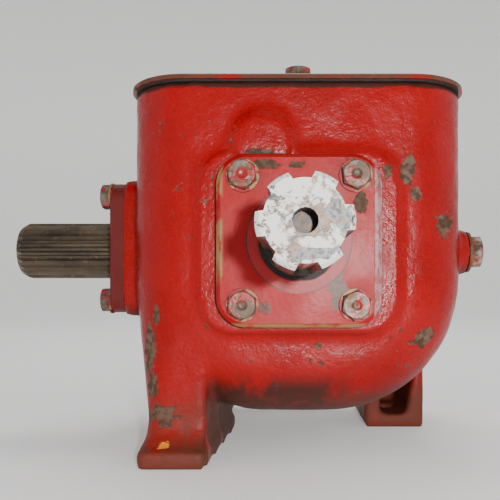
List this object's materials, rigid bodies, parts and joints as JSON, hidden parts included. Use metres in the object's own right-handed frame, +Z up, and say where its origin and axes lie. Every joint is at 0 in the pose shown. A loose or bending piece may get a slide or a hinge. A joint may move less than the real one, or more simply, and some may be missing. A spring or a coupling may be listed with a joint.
{
  "type": "right angle bevel gearbox",
  "caption": "Cast iron right angle bevel gearbox on feet, with a six tooth splined input shaft in front, a fine splined output shaft on the left and a bolted top cover.",
  "frame": {"origin": "midway between the two bolt holes of the rear feet, on the plane that the feet stand on", "axes": "+Z up; the input shaft comes out towards -Y and the output shaft towards -X; their axes cross at X 0, Y -36 mm, Z 113 mm"},
  "size_m": [0.2762, 0.2914, 0.214],
  "materials": {
    "painted_casting": "red gloss enamel over rough sand casting, chipped",
    "painted_cap": "red enamel, worn and greasy",
    "painted_sheet": "red enamel on sheet steel",
    "gasket_paper": "oil soaked gasket paper",
    "painted_bolt": "worn red paint over plated steel",
    "washer_plate": "dull yellow zinc plating",
    "shaft_steel_input": "worn white primer and bare steel",
    "shaft_steel_output": "oily rust brown steel",
    "gear_steel": "ground and oiled",
    "bearing_steel": "polished",
    "cage_brass": "pressed",
    "seal_rubber": "oily nitrile",
    "plug_steel": "painted and rusty",
    "copper_washer": "dull copper"
  },
  "bodies": {
    "gearcase": {"housing": "painted_casting", "top_cover": "painted_sheet", "top_cover_gasket": "gasket_paper", "top_cover_bolts": "painted_bolt", "top_cover_washers": "washer_plate", "input_cap": "painted_cap", "input_cap_gasket": "gasket_paper", "input_cap_bolts": "painted_bolt", "input_cap_washers": "washer_plate", "input_seal": "seal_rubber", "output_cap": "painted_cap", "output_cap_gasket": "gasket_paper", "output_cap_bolts": "painted_bolt", "output_cap_washers": "washer_plate", "output_seal": "seal_rubber", "rear_cap": "painted_cap", "rear_cap_gasket": "gasket_paper", "rear_cap_bolts": "painted_bolt", "rear_cap_washers": "washer_plate", "level_plug": "plug_steel", "level_plug_washer": "copper_washer", "filler_plug": "plug_steel", "filler_plug_washer": "copper_washer", "drain_plug": "plug_steel", "drain_plug_washer": "copper_washer", "input_front_bearing_outer": "bearing_steel", "input_rear_bearing_outer": "bearing_steel", "output_outer_bearing_outer": "bearing_steel", "output_inner_bearing_outer": "bearing_steel"},
    "input_line": {"input_shaft": "shaft_steel_input", "crown_gear": "gear_steel", "gear_key": "gear_steel", "gear_spacer": "gear_steel", "input_circlip": "gear_steel", "input_front_bearing_inner": "bearing_steel", "input_rear_bearing_inner": "bearing_steel"},
    "output_line": {"output_pinion_shaft": "shaft_steel_output", "output_spacer": "gear_steel", "output_circlip": "gear_steel", "output_outer_bearing_inner": "bearing_steel", "output_inner_bearing_inner": "bearing_steel"},
    "input_front_bearing_train": {"input_front_bearing_balls": "bearing_steel", "input_front_bearing_cage": "cage_brass"},
    "input_rear_bearing_train": {"input_rear_bearing_balls": "bearing_steel", "input_rear_bearing_cage": "cage_brass"},
    "output_outer_bearing_train": {"output_outer_bearing_balls": "bearing_steel", "output_outer_bearing_cage": "cage_brass"},
    "output_inner_bearing_train": {"output_inner_bearing_balls": "bearing_steel", "output_inner_bearing_cage": "cage_brass"}
  },
  "joints": [
    {"name": "input_spin", "type": "hinge", "parent": "gearcase", "child": "input_line", "pos_m": [0, -0.036, 0.113], "axis": [0, 1, 0], "continuous": true},
    {"name": "output_spin", "type": "hinge", "parent": "gearcase", "child": "output_line", "pos_m": [0, -0.036, 0.113], "axis": [1, 0, 0], "continuous": true},
    {"name": "input_front_bearing_roll", "type": "hinge", "parent": "gearcase", "child": "input_front_bearing_train", "pos_m": [0, -0.036, 0.113], "axis": [0, 1, 0], "continuous": true},
    {"name": "input_rear_bearing_roll", "type": "hinge", "parent": "gearcase", "child": "input_rear_bearing_train", "pos_m": [0, -0.036, 0.113], "axis": [0, 1, 0], "continuous": true},
    {"name": "output_outer_bearing_roll", "type": "hinge", "parent": "gearcase", "child": "output_outer_bearing_train", "pos_m": [0, -0.036, 0.113], "axis": [1, 0, 0], "continuous": true},
    {"name": "output_inner_bearing_roll", "type": "hinge", "parent": "gearcase", "child": "output_inner_bearing_train", "pos_m": [0, -0.036, 0.113], "axis": [1, 0, 0], "continuous": true}
  ],
  "couplings": [
    {"joint": "output_spin", "follows": "input_spin", "ratio": 1.9286},
    {"joint": "input_front_bearing_roll", "follows": "input_spin", "ratio": 0.41814},
    {"joint": "input_rear_bearing_roll", "follows": "input_spin", "ratio": 0.41814},
    {"joint": "output_outer_bearing_roll", "follows": "input_spin", "ratio": 0.80642},
    {"joint": "output_inner_bearing_roll", "follows": "input_spin", "ratio": 0.80642}
  ]
}
